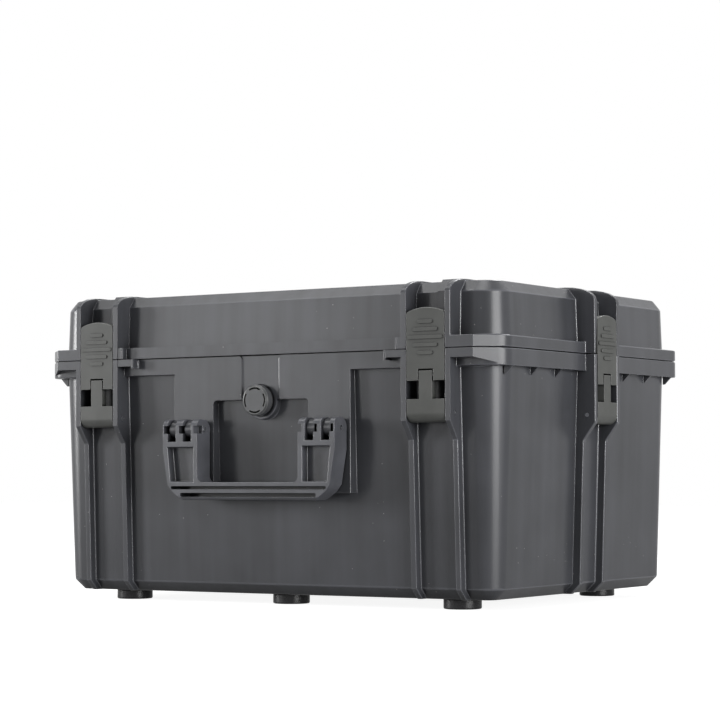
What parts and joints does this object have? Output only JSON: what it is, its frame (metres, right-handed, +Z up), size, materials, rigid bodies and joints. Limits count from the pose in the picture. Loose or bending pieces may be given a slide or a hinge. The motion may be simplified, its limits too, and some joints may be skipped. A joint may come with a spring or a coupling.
{
  "type": "hard tool case",
  "caption": "Deep hard-shell tool case with a hinged lid, draw latches on three sides, a drop handle and a pressure valve.",
  "frame": {"origin": "on the floor, under the centre of the case's box", "axes": "+X to the right along the front, +Y to the rear hinge, +Z up"},
  "size_m": [0.5566, 0.428, 0.3065],
  "materials": {
    "base_plastic": "fine satin texture, moulded",
    "lid_plastic": "fine satin texture, moulded",
    "latch_plastic": "matt, moulded",
    "handle_plastic": "satin, moulded",
    "seal_rubber": "soft, matt",
    "pin_steel": "bright drawn",
    "valve_plastic": "moulded",
    "knob_plastic": "satin, moulded",
    "membrane": "fine white membrane",
    "screw_steel": "plated",
    "foot_plastic": "semi-gloss, moulded"
  },
  "bodies": {
    "base": {"base_shell": "base_plastic", "hinge_rod": "pin_steel", "front_left_link_pin": "pin_steel", "front_right_link_pin": "pin_steel", "right_side_link_pin": "pin_steel", "left_side_link_pin": "pin_steel", "handle_pin_left": "pin_steel", "handle_pin_right": "pin_steel", "valve_body": "valve_plastic", "valve_seal": "seal_rubber", "valve_nut": "valve_plastic", "valve_membrane": "membrane", "foot_front_left": "foot_plastic", "foot_front_middle": "foot_plastic", "foot_front_right": "foot_plastic", "foot_rear_left": "foot_plastic", "foot_rear_middle": "foot_plastic", "foot_rear_right": "foot_plastic", "foot_screws": "screw_steel"},
    "lid": {"lid_shell": "lid_plastic", "lid_seal": "seal_rubber"},
    "handle": {"handle": "handle_plastic"},
    "valve_knob": {"valve_knob": "knob_plastic"},
    "front_left_link": {"front_left_latch_link": "latch_plastic", "front_left_lever_pin": "pin_steel"},
    "front_left_lever": {"front_left_latch_lever": "latch_plastic"},
    "front_right_link": {"front_right_latch_link": "latch_plastic", "front_right_lever_pin": "pin_steel"},
    "front_right_lever": {"front_right_latch_lever": "latch_plastic"},
    "right_side_link": {"right_side_latch_link": "latch_plastic", "right_side_lever_pin": "pin_steel"},
    "right_side_lever": {"right_side_latch_lever": "latch_plastic"},
    "left_side_link": {"left_side_latch_link": "latch_plastic", "left_side_lever_pin": "pin_steel"},
    "left_side_lever": {"left_side_latch_lever": "latch_plastic"}
  },
  "joints": [
    {"name": "lid_hinge", "type": "hinge", "parent": "base", "child": "lid", "pos_m": [0, 0.207, 0.2385], "axis": [-1, 0, 0], "range_deg": [0, 105]},
    {"name": "handle_hinge", "type": "hinge", "parent": "base", "child": "handle", "pos_m": [0, -0.202, 0.17], "axis": [-1, 0, 0], "range_deg": [0, 100]},
    {"name": "valve_knob_turn", "type": "hinge", "parent": "base", "child": "valve_knob", "pos_m": [0, -0.2, 0.1975], "axis": [0, -1, 0], "range_deg": [0, 90]},
    {"name": "front_left_link_hinge", "type": "hinge", "parent": "base", "child": "front_left_link", "pos_m": [-0.193, -0.1935, 0.1825], "axis": [1, 0, 0], "range_deg": [0, 110]},
    {"name": "front_left_lever_hinge", "type": "hinge", "parent": "front_left_link", "child": "front_left_lever", "pos_m": [-0.193, -0.199, 0.2167], "axis": [1, 0, 0], "range_deg": [0, 80]},
    {"name": "front_right_link_hinge", "type": "hinge", "parent": "base", "child": "front_right_link", "pos_m": [0.193, -0.1935, 0.1825], "axis": [1, 0, 0], "range_deg": [0, 110]},
    {"name": "front_right_lever_hinge", "type": "hinge", "parent": "front_right_link", "child": "front_right_lever", "pos_m": [0.193, -0.199, 0.2167], "axis": [1, 0, 0], "range_deg": [0, 80]},
    {"name": "right_side_link_hinge", "type": "hinge", "parent": "base", "child": "right_side_link", "pos_m": [0.2685, 0, 0.1825], "axis": [0, 1, 0], "range_deg": [0, 110]},
    {"name": "right_side_lever_hinge", "type": "hinge", "parent": "right_side_link", "child": "right_side_lever", "pos_m": [0.274, 0, 0.2167], "axis": [0, 1, 0], "range_deg": [0, 80]},
    {"name": "left_side_link_hinge", "type": "hinge", "parent": "base", "child": "left_side_link", "pos_m": [-0.2685, 0, 0.1825], "axis": [0, -1, 0], "range_deg": [0, 110]},
    {"name": "left_side_lever_hinge", "type": "hinge", "parent": "left_side_link", "child": "left_side_lever", "pos_m": [-0.274, 0, 0.2167], "axis": [0, -1, 0], "range_deg": [0, 80]}
  ]
}
